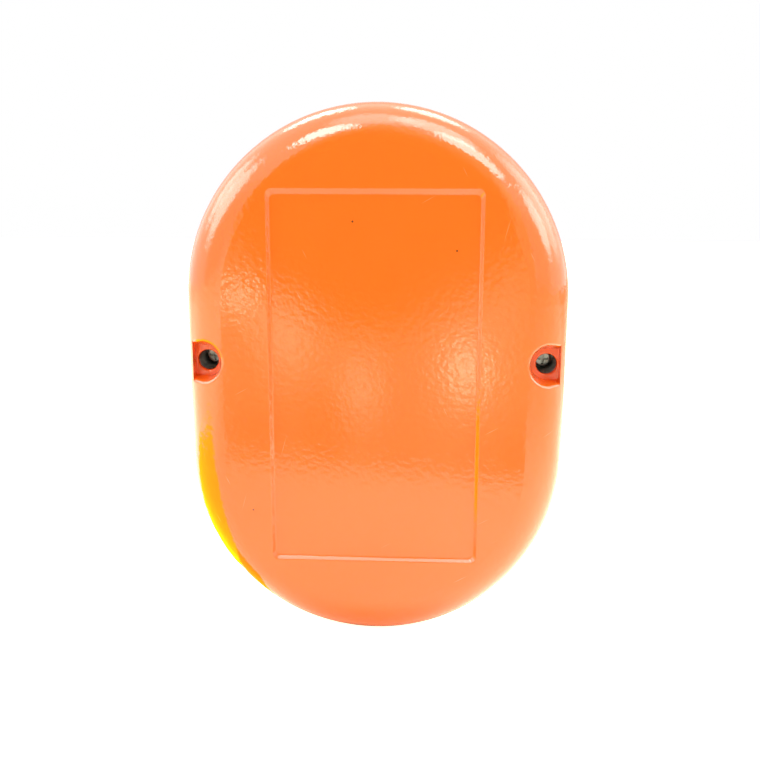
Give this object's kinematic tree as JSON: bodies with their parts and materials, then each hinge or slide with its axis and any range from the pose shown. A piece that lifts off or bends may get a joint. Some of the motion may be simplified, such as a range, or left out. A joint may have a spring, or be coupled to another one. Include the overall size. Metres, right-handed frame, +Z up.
{
  "type": "toy walkie talkie",
  "caption": "Glossy pill-shaped toy walkie talkie with push-to-talk and call buttons, volume knob, speaker grille and a plain back with a label recess and two screw wells.",
  "frame": {"origin": "centre of the whole object's box", "axes": "+Z up along the length, the speaker end on top; the front with the controls faces -Y, the flat back faces +Y; +X is to the right as the front is looked at"},
  "size_m": [0.092, 0.038, 0.1306],
  "materials": {
    "orange_plastic": "glossy injection-moulded ABS with a faint orange-peel ripple and light scratches",
    "charcoal_plastic": "fine satin texture",
    "yellow_plastic": "glossy injection-moulded ABS",
    "black_plastic": "satin moulded, drawn finish",
    "lens_plastic": "clear red, polished",
    "plated_steel": "zinc plated, lightly streaked",
    "bright_steel": "nickel plated spring steel",
    "pressed_steel": "black lacquered pressed steel",
    "ferrite": "sintered, dull",
    "speaker_paper": "pressed paper pulp with fine fibres",
    "felt": "thin black felt",
    "foam": "closed-cell foam",
    "boot_rubber": "moulded rubber",
    "board_green": "glass-epoxy board with solder mask and tinned pads",
    "chip_epoxy": "moulded epoxy with tinned legs",
    "switch_plastic": "moulded body with a steel cover",
    "capacitor_sleeve": "shrunk plastic sleeve, bare aluminium top",
    "ceramic": "dipped ceramic disc",
    "resistor_body": "lacquered body with colour bands",
    "cell_wrap": "printed shrink wrap with bare ends",
    "copper_wire": "enamelled copper",
    "red_insulation": "soft vinyl insulation",
    "black_insulation": "soft vinyl insulation",
    "grey_insulation": "soft vinyl insulation",
    "white_plastic": "natural moulded nylon"
  },
  "bodies": {
    "casing": {"back_shell": "orange_plastic", "front_shell": "orange_plastic", "well_ferrules": "plated_steel", "case_screws": "plated_steel", "ptt_spring": "bright_steel", "ptt_switch": "switch_plastic", "call_spring": "bright_steel", "call_switch": "switch_plastic", "volume_potentiometer": "switch_plastic", "led_lens": "lens_plastic", "led": "lens_plastic", "grille_felt": "felt", "speaker_gasket": "foam", "speaker_frame": "pressed_steel", "speaker_cone": "speaker_paper", "speaker_magnet": "ferrite", "speaker_bracket": "black_plastic", "bracket_screws": "plated_steel", "microphone": "bright_steel", "microphone_boot": "boot_rubber", "microphone_wires": "grey_insulation", "circuit_board": "board_green", "board_screws": "plated_steel", "crystal": "bright_steel", "tuning_coils": "bright_steel", "electrolytic_capacitors": "capacitor_sleeve", "disc_capacitors": "ceramic", "resistors": "resistor_body", "battery_tray": "black_plastic", "tray_screws": "plated_steel", "battery_cells": "cell_wrap", "battery_plates": "bright_steel", "battery_springs": "bright_steel", "antenna_former": "white_plastic", "antenna_coil": "copper_wire", "audio_chip": "chip_epoxy", "radio_chip": "chip_epoxy", "battery_wire_red": "red_insulation", "battery_wire_black": "black_insulation", "speaker_wire_red": "red_insulation", "speaker_wire_black": "black_insulation", "antenna_wire": "grey_insulation"},
    "ptt": {"ptt_button": "yellow_plastic"},
    "call": {"call_button": "charcoal_plastic"},
    "volume": {"volume_knob": "charcoal_plastic", "volume_shaft": "bright_steel"}
  },
  "joints": [
    {"name": "ptt_press", "type": "slide", "parent": "casing", "child": "ptt", "axis": [0, 1, 0], "range_m": [0, 0.001], "stiffness_N_per_m": 1500, "springref_m": -0.002, "deforming": ["ptt_spring"]},
    {"name": "call_press", "type": "slide", "parent": "casing", "child": "call", "axis": [0, 1, 0], "range_m": [0, 0.0008], "stiffness_N_per_m": 1200, "springref_m": -0.0015, "deforming": ["call_spring"]},
    {"name": "volume_turn", "type": "hinge", "parent": "casing", "child": "volume", "pos_m": [0.022, -0.0134, -0.002], "axis": [0, 1, 0], "range_deg": [0, 270]}
  ]
}
